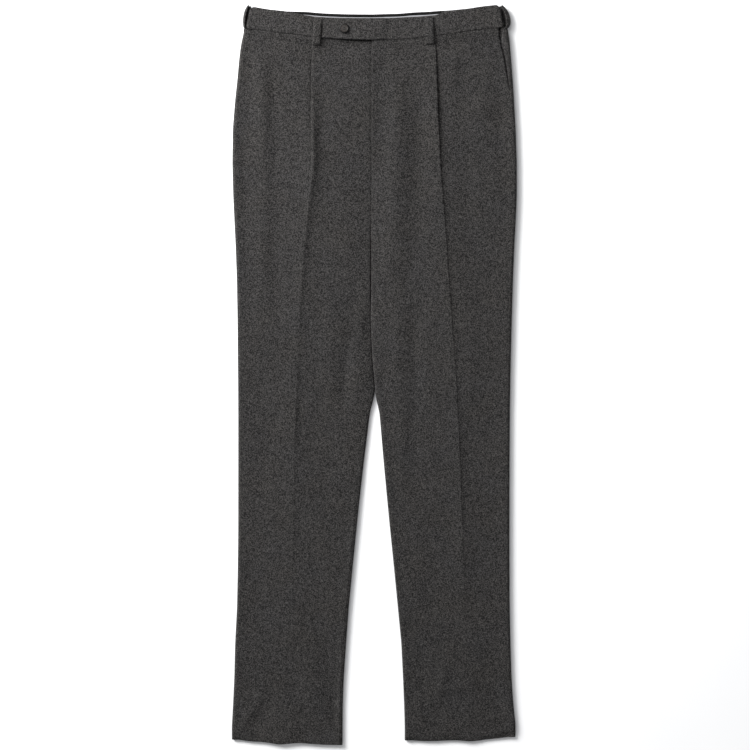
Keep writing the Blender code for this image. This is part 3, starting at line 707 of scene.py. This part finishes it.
def back_rise(x):
    """How far the back's top edge stands above the band's own top: most in the middle."""
    return BACK_RISE + 0.8 * np.exp(-((x - 12.0) / 48.0) ** 2) - 1.5 * smoothstep(52.0, 90.0, x)


def lining_grid():
    """The strip of the band's curtain that shows above the front, up to the back's rolled top."""
    low, high = box_mm("waistband_lining")
    xs = np.linspace(low[X], high[X], 90)
    rows = []
    for share in np.linspace(0.0, 1.0, 9):
        top = back_top_y(xs) + back_rise(xs) - BACK_ROLL + 0.3
        ys = top - 13.5 * (1.0 - share)
        zs = high[Z] + 0.1 + 0.12 * waves(xs, ys, 9.0, 30.0, 2.0) - 0.3 * share ** 6
        rows.append(np.stack([xs, ys, zs], axis=-1))
    return np.array(rows)


def back_roll_grid():
    """The back's top edge, where the cloth turns over the band to the lining."""
    low, high = box_mm("waistband_lining")
    xs = np.linspace(low[X] - 34.0, high[X] + 20.0, 120)
    taper = smoothstep(xs[0], xs[0] + 45.0, xs) * smoothstep(xs[-1], xs[-1] - 35.0, xs)
    middle = back_top_y(xs) + mix(0.2, back_rise(xs), taper) - BACK_ROLL / 2
    rows = []
    for angle in np.radians(np.linspace(-80.0, 180.0, 14)):
        ys = middle + BACK_ROLL / 2 * np.cos(angle)
        rows.append(np.stack([xs, ys, 4.3 + 1.2 * np.sin(angle) + 0 * xs], axis=-1))
    for tail in (1.5, 3.0, 5.0):
        rows.append(np.stack([xs, middle - BACK_ROLL / 2 - tail, 3.3 + 0 * xs], axis=-1))
    return np.array(rows)


def strap_rows(low_y, high_y):
    shares = np.concatenate([[0.0, 0.008, 0.02, 0.04], np.linspace(0.07, 0.93, 26),
                             [0.96, 0.98, 0.992, 1.0]])
    return shares, mix(low_y, high_y, shares)


def flat_loop_grid(node, lean, bow, below=False):
    """A belt loop lying along the band: domed across, bowed between its sewn ends."""
    low, high = box_mm(node)
    width = 12.4
    shares, ys = strap_rows(low[Y], high[Y])
    middle = (low[X] + high[X]) / 2 + lean * (shares - 0.5)
    across = np.array([-1.0, -0.97, -0.9, -0.75, -0.5, -0.2, 0.2, 0.5, 0.75, 0.9, 0.97, 1.0])
    xs = middle[:, None] + across[None, :] * width / 2
    level = same_rows(ys, xs)
    if below:
        zs = low[Z] + 0.15 * np.abs(across[None, :]) ** 3 + 0 * level
        return np.stack([xs, level, zs], axis=-1)
    ends = np.minimum(shares, 1.0 - shares)[:, None]
    lift = bow * smoothstep(0.02, 0.45, ends)
    top_end, low_end = high[Z] - 0.6 * bow, low[Z] + 1.5
    base = mix(low_end, top_end, smoothstep(0.0, 0.5, shares))[:, None]
    sides = 0.75 * np.abs(across[None, :]) ** 5
    ends_roll = 0.9 * np.exp(-(ends / 0.018) ** 2)
    zs = base + lift - sides - ends_roll + 0.12 * waves(xs, level, 5.0, 11.0, 9.0)
    return np.stack([xs, level, zs], axis=-1)


def side_loop_grid(side, reach, gap):
    """A belt loop seen on its edge: it bulges out from the waistband's end round a dark gap."""
    low, high = box_mm("belt_loop_side_" + SIDE_NAMES[side])
    shares, ys = strap_rows(low[Y] - 3.0, high[Y] + 0.8)
    band = np.abs(band_end[side](ys))[:, None]
    arch = np.sin(np.pi * shares ** 0.6)[:, None].clip(0.0, 1.0) ** 0.6
    out = band + 1.3 + (reach - band - 1.3) * arch
    across = np.linspace(0.0, 1.0, 15)[None, :]
    under = mix(band - 2.5, out, np.sin(np.pi / 2 * np.clip(across / 0.5, 0.0, 1.0)))
    over = mix(out, band + 0.4 + gap * arch, np.clip((across - 0.5) / 0.5, 0.0, 1.0) ** 1.5)
    xs = side * np.where(across < 0.5, under, over)
    zs = mix(low[Z], high[Z], across) + 0 * ys[:, None]
    level = same_rows(ys, xs)
    return np.stack([xs, level, zs], axis=-1)


def tube_piece(name, paths, radius, material):
    """Thread as thin round tubes along some paths."""
    verts, faces = [], []
    sides = 8
    for path in paths:
        points = [Vector(point) for point in path]
        first = len(verts)
        for i, point in enumerate(points):
            along = points[min(i + 1, len(points) - 1)] - points[max(i - 1, 0)]
            across = along.cross(Vector((0.0, 0.0, 1.0))).normalized()
            if across.length < 0.5:
                across = Vector((1.0, 0.0, 0.0))
            up = across.cross(along).normalized()
            for k in range(sides):
                angle = 2 * np.pi * k / sides
                ring = across * np.cos(angle) + up * np.sin(angle)
                verts.append((point + ring * radius) * MM)
        for i in range(len(points) - 1):
            for k in range(sides):
                a, b = first + i * sides + k, first + i * sides + (k + 1) % sides
                faces.append((a, b, b + sides, a + sides))
        last = first + (len(points) - 1) * sides
        faces.append(tuple(range(first, first + sides))[::-1])
        faces.append(tuple(range(last, last + sides)))
    mesh = bpy.data.meshes.new(name)
    mesh.from_pydata([tuple(vert) for vert in verts], [], faces)
    smooth_piece(name, mesh, material)


def tab_surface(x, y):
    """The height of the fly tab's upper side, away from its edges."""
    pull = 0.7 * np.exp(-((x - button_x) ** 2 + (y - button_y) ** 2) / 12.0 ** 2)
    return float(tab_height(x) + 0.7 * band_wave(x, y + 90.0) - pull)


def buttonhole_path():
    """A keyhole buttonhole's outline: two close edges that run into a round eye."""
    start_x, eye_x, middle_y, half_width, eye_radius = -40.5, -29.6, 535.6, 0.75, 1.5
    edge = [(x, middle_y + half_width) for x in np.linspace(start_x, eye_x - eye_radius, 7)]
    turn = [(eye_x - eye_radius * np.cos(a), middle_y + eye_radius * np.sin(a))
            for a in np.linspace(0.6, 2 * np.pi - 0.6, 15)]
    back = [(x, middle_y - half_width) for x in np.linspace(eye_x - eye_radius, start_x, 7)]
    return [(x, y, tab_surface(x, y) + 0.1) for x, y in edge + turn + back]


def button_thread_paths():
    """Two stitches through the button's four holes."""
    dish = button_low[Z] + 0.62 * (button_high[Z] - button_low[Z])
    half = 1.75 * np.sqrt(0.5)
    paths = []
    for y_side in (-half, half):
        paths.append([(button_x + x, button_y + y_side, dish + z) for x, z in
                      ((-half, -1.0), (-half, 0.1), (-half * 0.6, 0.4), (0.0, 0.45),
                       (half * 0.6, 0.4), (half, 0.1), (half + 0.01, -1.0))])
    return paths


# ---- materials ----

class Nodes:
    """A short way to write a material's node tree."""

    def __init__(self, name):
        self.material = bpy.data.materials.new(name)
        self.material.use_nodes = True
        self.tree = self.material.node_tree
        self.shader = self.tree.nodes["Principled BSDF"]
        coordinates = self.tree.nodes.new("ShaderNodeTexCoord")
        scale = self.tree.nodes.new("ShaderNodeVectorMath")
        scale.operation = "SCALE"
        scale.inputs["Scale"].default_value = 1.0 / MM
        self.tree.links.new(coordinates.outputs["Object"], scale.inputs[0])
        self.place = scale.outputs[0]

    def put(self, socket, value):
        if isinstance(value, bpy.types.NodeSocket):
            self.tree.links.new(value, socket)
        else:
            socket.default_value = value

    def math(self, operation, first, second=0.0, third=0.0, clamp=False):
        node = self.tree.nodes.new("ShaderNodeMath")
        node.operation = operation
        node.use_clamp = clamp
        for socket, value in zip(node.inputs, (first, second, third)):
            self.put(socket, value)
        return node.outputs[0]

    def times(self, first, second, clamp=False):
        return self.math("MULTIPLY", first, second, clamp=clamp)

    def plus(self, first, second, clamp=False):
        return self.math("ADD", first, second, clamp=clamp)

    def scaled(self, value, gain, offset, clamp=False):
        return self.math("MULTIPLY_ADD", value, gain, offset, clamp)

    def axes(self, vector):
        node = self.tree.nodes.new("ShaderNodeSeparateXYZ")
        self.put(node.inputs[0], vector)
        return node.outputs

    def vector(self, x, y, z=0.0):
        node = self.tree.nodes.new("ShaderNodeCombineXYZ")
        for socket, value in zip(node.inputs, (x, y, z)):
            self.put(socket, value)
        return node.outputs[0]

    def noise(self, vector, scale, detail=2.0, roughness=0.5):
        node = self.tree.nodes.new("ShaderNodeTexNoise")
        self.put(node.inputs["Vector"], vector)
        node.inputs["Scale"].default_value = scale
        node.inputs["Detail"].default_value = detail
        node.inputs["Roughness"].default_value = roughness
        return node.outputs["Fac"]

    def random(self, vector):
        node = self.tree.nodes.new("ShaderNodeTexWhiteNoise")
        node.noise_dimensions = "3D"
        self.put(node.inputs["Vector"], vector)
        return node.outputs["Value"]

    def mix(self, share, first, second):
        node = self.tree.nodes.new("ShaderNodeMix")
        node.data_type = "RGBA"
        self.put(node.inputs[0], share)
        self.put(node.inputs[6], (*first, 1.0) if isinstance(first, tuple) else first)
        self.put(node.inputs[7], (*second, 1.0) if isinstance(second, tuple) else second)
        return node.outputs[2]

    def shade(self, colour, roughness, specular, sheen=0.0):
        self.put(self.shader.inputs["Base Color"], colour)
        self.put(self.shader.inputs["Roughness"], roughness)
        self.shader.inputs["Specular IOR Level"].default_value = specular
        self.shader.inputs["Sheen Weight"].default_value = sheen

    def bump(self, height, distance, strength):
        node = self.tree.nodes.new("ShaderNodeBump")
        node.inputs["Distance"].default_value = distance * MM
        node.inputs["Strength"].default_value = strength
        self.put(node.inputs["Height"], height)
        self.put(self.shader.inputs["Normal"], node.outputs[0])


WOOL_DARK = np.array((0.0020, 0.0018, 0.0017))
WOOL_LIGHT = np.array((0.068, 0.0633, 0.0597))
COOL = np.array((0.95, 0.985, 1.06))
THREAD_PITCH = 1.0
SLIPPED_ABOVE = 0.86  # crossings whose random number is above this lie the other way
FLECK_ABOVE = 0.975  # and above this they carry a pale fleck
TONE_SHARE, SPECK_SHARE, SHARE_OFFSET = 0.95, 1.15, -0.78
OVER_SHARE, FLECK_SHARE = 0.16, 1.0
FIBRE_SHARE, STREAK_SHARE, PATCH_SHARE = 0.3, 0.16, 0.06
# Painted shade and light on the weave: the colour darkens in the cracks between threads and lightens on
# each thread's round top.
CRACK_PAINTED_SHADE, THREAD_ROUND_PAINTED_LIGHT = 0.3, 0.75  # how light the cracks are, and what a thread's round adds


def wool_material(name, turn=False, scale=1.0):
    """Charcoal worsted in an uneven hopsack: crossing thread pairs, flecks, a soft nap, and painted shade
    in the cracks between threads.
    """
    nodes = Nodes(name)
    wander = nodes.noise(nodes.place, 0.055, 2.0)
    sway = nodes.scaled(wander, 2.4, -1.2)
    x, y, z = nodes.axes(nodes.place)
    x = nodes.plus(x, nodes.times(z, 0.55))
    x = nodes.plus(x, sway)
    y = nodes.plus(y, sway)
    if turn:
        x, y = y, x
    warp = nodes.math("DIVIDE", x, THREAD_PITCH)
    weft = nodes.math("DIVIDE", y, THREAD_PITCH)
    warp_cell, weft_cell = nodes.math("FLOOR", warp), nodes.math("FLOOR", weft)
    parity = nodes.math("FLOORED_MODULO", nodes.plus(warp_cell, weft_cell), 2.0)
    slip = nodes.random(nodes.vector(warp_cell, weft_cell, 3.0))
    slipped = nodes.math("GREATER_THAN", slip, SLIPPED_ABOVE)
    over = nodes.math("ABSOLUTE", nodes.math("SUBTRACT", parity, slipped))
    under = nodes.math("SUBTRACT", 1.0, over)

    # Each thread keeps its tone for about two crossings, then the yarn's mix of fibres changes.
    warp_run = nodes.math("FLOOR", nodes.scaled(weft, 0.9, nodes.times(warp_cell, 0.618)))
    weft_run = nodes.math("FLOOR", nodes.scaled(warp, 0.6, nodes.times(weft_cell, 0.618)))
    warp_tone = nodes.random(nodes.vector(warp_cell, warp_run, 11.0))
    weft_tone = nodes.random(nodes.vector(weft_run, weft_cell, 23.0))
    tone = nodes.plus(nodes.times(warp_tone, under), nodes.times(weft_tone, over))
    speck = nodes.random(nodes.vector(warp_cell, weft_cell, 57.0))
    fibre = nodes.noise(nodes.place, 2.6, 3.0, 0.7)
    streak = nodes.noise(nodes.vector(nodes.times(x, 0.09), nodes.times(y, 0.5), z), 1.0, 1.0)
    patch = nodes.noise(nodes.place, 0.035, 3.0, 0.6)

    warp_round = nodes.math("ABSOLUTE", nodes.math("SINE", nodes.times(warp, 2 * np.pi)))
    weft_round = nodes.math("ABSOLUTE", nodes.math("SINE", nodes.times(weft, 2 * np.pi)))
    body = nodes.plus(nodes.times(warp_round, under), nodes.times(weft_round, over))
    warp_end = nodes.math("ABSOLUTE", nodes.math("SINE", nodes.times(warp, np.pi)))
    weft_end = nodes.math("ABSOLUTE", nodes.math("SINE", nodes.times(weft, np.pi)))
    arch = nodes.plus(nodes.times(weft_end, under), nodes.times(warp_end, over))
    thread = nodes.times(nodes.math("POWER", body, 0.5), nodes.math("POWER", arch, 0.4))

    odds = nodes.random(nodes.vector(warp_cell, weft_cell, 41.0))
    fleck = nodes.math("GREATER_THAN", odds, FLECK_ABOVE)
    share = nodes.scaled(speck, SPECK_SHARE, SHARE_OFFSET)
    share = nodes.scaled(tone, TONE_SHARE, share)
    share = nodes.scaled(over, OVER_SHARE, share)
    for cloud, amount in ((fibre, FIBRE_SHARE), (streak, STREAK_SHARE), (patch, PATCH_SHARE)):
        share = nodes.plus(share, nodes.scaled(cloud, amount, -amount / 2))
    share = nodes.scaled(fleck, FLECK_SHARE, share)
    # Painted shade in the cracks between threads, painted light on their round tops.
    painted_weave_shade = nodes.scaled(thread, THREAD_ROUND_PAINTED_LIGHT, CRACK_PAINTED_SHADE)
    share = nodes.times(share, painted_weave_shade, clamp=True)
    dark, light = WOOL_DARK * scale, WOOL_LIGHT * scale
    warm = nodes.mix(share, tuple(dark), tuple(light))
    cool = nodes.mix(share, tuple(dark * COOL), tuple(light * COOL))
    tint = nodes.noise(nodes.place, 0.021, 2.0)
    colour = nodes.mix(nodes.scaled(tint, 1.6, -0.45, clamp=True), warm, cool)
    nodes.shade(colour, nodes.scaled(fibre, 0.2, 0.72), 0.18, 0.06 * scale)
    nodes.shader.inputs["Sheen Roughness"].default_value = 0.45
    nodes.shader.inputs["Sheen Tint"].default_value = (0.62, 0.6, 0.6, 1.0)
    nap = nodes.scaled(fibre, 0.8, nodes.times(speck, 0.35))
    nodes.bump(nodes.plus(thread, nap), 0.16, 0.75)
    return nodes.material


def lining_material():
    """Pale grey twill lining with a faint slanted rib."""
    nodes = Nodes("lining_twill")
    x, y, _ = nodes.axes(nodes.place)
    rib = nodes.math("SINE", nodes.times(nodes.plus(x, y), 5.2))
    cloud = nodes.noise(nodes.place, 0.16, 3.0)
    thread = nodes.noise(nodes.place, 1.7, 2.0)
    share = nodes.scaled(rib, 0.12, nodes.scaled(cloud, 0.6, 0.1))
    share = nodes.plus(share, nodes.scaled(thread, 0.3, -0.15), clamp=True)
    colour = nodes.mix(share, (0.16, 0.16, 0.17), (0.30, 0.30, 0.315))
    nodes.shade(colour, nodes.scaled(cloud, 0.2, 0.42), 0.5, 0.15)
    nodes.bump(rib, 0.06, 0.5)
    return nodes.material


def horn_material(centre):
    """Dark horn: a brown-grey dish with lighter streaks, its colour darkened towards the rim as painted
    shade.
    """
    nodes = Nodes("button_horn")
    x, y, z = nodes.axes(nodes.place)
    from_x = nodes.math("SUBTRACT", x, float(centre[X]))
    from_y = nodes.math("SUBTRACT", y, float(centre[Y]))
    radius = nodes.math("SQRT", nodes.plus(nodes.times(from_x, from_x), nodes.times(from_y, from_y)))
    # Painted shade: the colour darkens towards the button's rim.
    painted_rim_shade = nodes.scaled(radius, 0.8, -4.2, clamp=True)
    bent = nodes.vector(nodes.times(x, 0.35), nodes.times(y, 1.6), z)
    streak = nodes.noise(bent, 0.55, 4.0, 0.6)
    share = nodes.scaled(streak, 2.2, -0.6, clamp=True)
    dish = nodes.mix(share, (0.007, 0.006, 0.0055), (0.046, 0.04, 0.036))
    scratch = nodes.noise(nodes.place, 3.0, 3.0, 0.7)
    nodes.shade(nodes.mix(painted_rim_shade, dish, (0.0025, 0.0022, 0.002)), nodes.scaled(scratch, 0.16, 0.14), 0.4)
    nodes.bump(scratch, 0.03, 0.3)
    return nodes.material


def thread_material():
    """Twisted sewing thread."""
    nodes = Nodes("thread_dark")
    x, y, z = nodes.axes(nodes.place)
    lay = nodes.plus(nodes.plus(x, y), nodes.times(z, 2.0))
    twist = nodes.math("SINE", nodes.times(lay, 16.0))
    fuzz = nodes.noise(nodes.place, 4.0, 2.0)
    share = nodes.scaled(twist, 0.3, nodes.times(fuzz, 0.9), clamp=True)
    colour = nodes.mix(share, (0.004, 0.004, 0.004), (0.03, 0.028, 0.027))
    nodes.shade(colour, nodes.scaled(fuzz, 0.2, 0.5), 0.5, 0.3)
    nodes.bump(twist, 0.05, 0.6)
    return nodes.material


def floor_material():
    nodes = Nodes("pale_floor")
    cloud = nodes.noise(nodes.place, 0.004, 3.0)
    nodes.shade(nodes.mix(cloud, (0.81, 0.81, 0.815), (0.85, 0.85, 0.85)), 0.9, 0.1)
    return nodes.material


# ---- stage ----

def build_camera():
    lens, sensor, view_width, cloth_z = 85.0, 36.0, 1.1625, 0.009
    data = bpy.data.cameras.new("camera")
    data.lens = lens
    data.sensor_width = sensor
    data.clip_end = 50.0
    camera = bpy.data.objects.new("camera", data)
    camera.location = (0.0016, 0.0, cloth_z + view_width * lens / sensor)
    bpy.context.scene.collection.objects.link(camera)
    bpy.context.scene.camera = camera


def area_light(name, place, target, size, power):
    data = bpy.data.lights.new(name, "AREA")
    data.shape = "DISK"
    data.size = size
    data.energy = power
    light = bpy.data.objects.new(name, data)
    light.location = place
    direction = Vector(target) - Vector(place)
    light.rotation_euler = direction.to_track_quat("-Z", "Y").to_euler()
    bpy.context.scene.collection.objects.link(light)


def build_stage():
    bpy.context.scene.view_settings.view_transform = "Standard"
    world = bpy.data.worlds.new("studio")
    world.use_nodes = True
    sky = world.node_tree.nodes["Background"].inputs
    sky["Color"].default_value = (0.97, 0.98, 1.0, 1.0)
    sky["Strength"].default_value = 0.47
    bpy.context.scene.world = world
    mesh = bpy.data.meshes.new("floor")
    half, level = 6.0, -0.0004
    corners = [(-half, -half, level), (half, -half, level), (half, half, level), (-half, half, level)]
    mesh.from_pydata(corners, [], [(0, 1, 2, 3)])
    floor = bpy.data.objects.new("floor", mesh)
    mesh.materials.append(floor_material())
    bpy.context.scene.collection.objects.link(floor)
    area_light("key", (-2.5, 1.7, 1.6), (0.0, 0.1, 0.0), 1.9, 255.0)
    area_light("top", (-0.8, 1.25, 1.5), (0.0, 0.2, 0.0), 1.4, 19.0)


build_camera()
build_stage()

# ---- the pieces ----

button_low, button_high = box_mm("button")
button_x, button_y = (button_low[X] + button_high[X]) / 2, (button_low[Y] + button_high[Y]) / 2

wool = wool_material("wool_panels")
wool_band = wool_material("wool_band", turn=True, scale=1.08)
# A ten times darker copy of the same wool: painted shade for the shadow along the back's rolled top edge.
painted_shade_wool = wool_material("wool_painted_shade", turn=True, scale=0.1)

for side in (RIGHT, LEFT):
    label = SIDE_NAMES[side]
    front = grid_piece("front_panel_" + label, front_grid(side), CLOTH_THICKNESS, wool, side == RIGHT)
    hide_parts(FRONTS[side])
    back = grid_piece("back_panel_" + label, back_grid(side), CLOTH_THICKNESS, wool, side == LEFT)
    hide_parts(BACKS[side])
    facing = grid_piece("pocket_facing_" + label + "_cloth", facing_grid(side), CLOTH_THICKNESS, wool,
                        side == RIGHT)
    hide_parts("pocket_facing_" + label)
    band = grid_piece("band_" + label, band_grid(side), BAND_THICKNESS, wool_band, side == RIGHT)
    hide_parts(BANDS[side])

tab = grid_piece("fly_tab_cloth", tab_grid(), BAND_THICKNESS, wool_band)
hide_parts("fly_tab")
lining = grid_piece("band_lining", lining_grid(), 0.5, lining_material())
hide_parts("waistband_lining")

# The back's rolled top edge is drawn in the darker wool copy, as painted shade.
back_roll = grid_piece("band_back_roll", back_roll_grid(), 0.5, painted_shade_wool)

for node, lean, bow, below, rests_on in (
        ("belt_loop_front_right", 3.6, 1.2, False, "fly_tab_cloth"),
        ("belt_loop_front_left", -2.2, 1.6, False, "band_left"),
        ("belt_loop_back_center", 0.0, 0.0, True, "floor")):
    strap = flat_loop_grid(node, lean, bow, below)
    loop = grid_piece(node + "_strap", strap, LOOP_THICKNESS, wool_band, below)
    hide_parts(node)
for side, reach, gap in ((RIGHT, 203.4, 1.9), (LEFT, 212.0, 3.6)):
    node = "belt_loop_side_" + SIDE_NAMES[side]
    strap = side_loop_grid(side, reach, gap)
    loop = grid_piece(node + "_strap", strap, LOOP_THICKNESS, wool_band, side == LEFT)
    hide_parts(node)

thread = thread_material()
tube_piece("buttonhole_stitching", [buttonhole_path()], 0.42, thread)
tube_piece("button_stitching", button_thread_paths(), 0.36, thread)

horn = horn_material((button_x, button_y))
button_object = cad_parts["button"]
for slot in button_object.material_slots:
    slot.material = horn
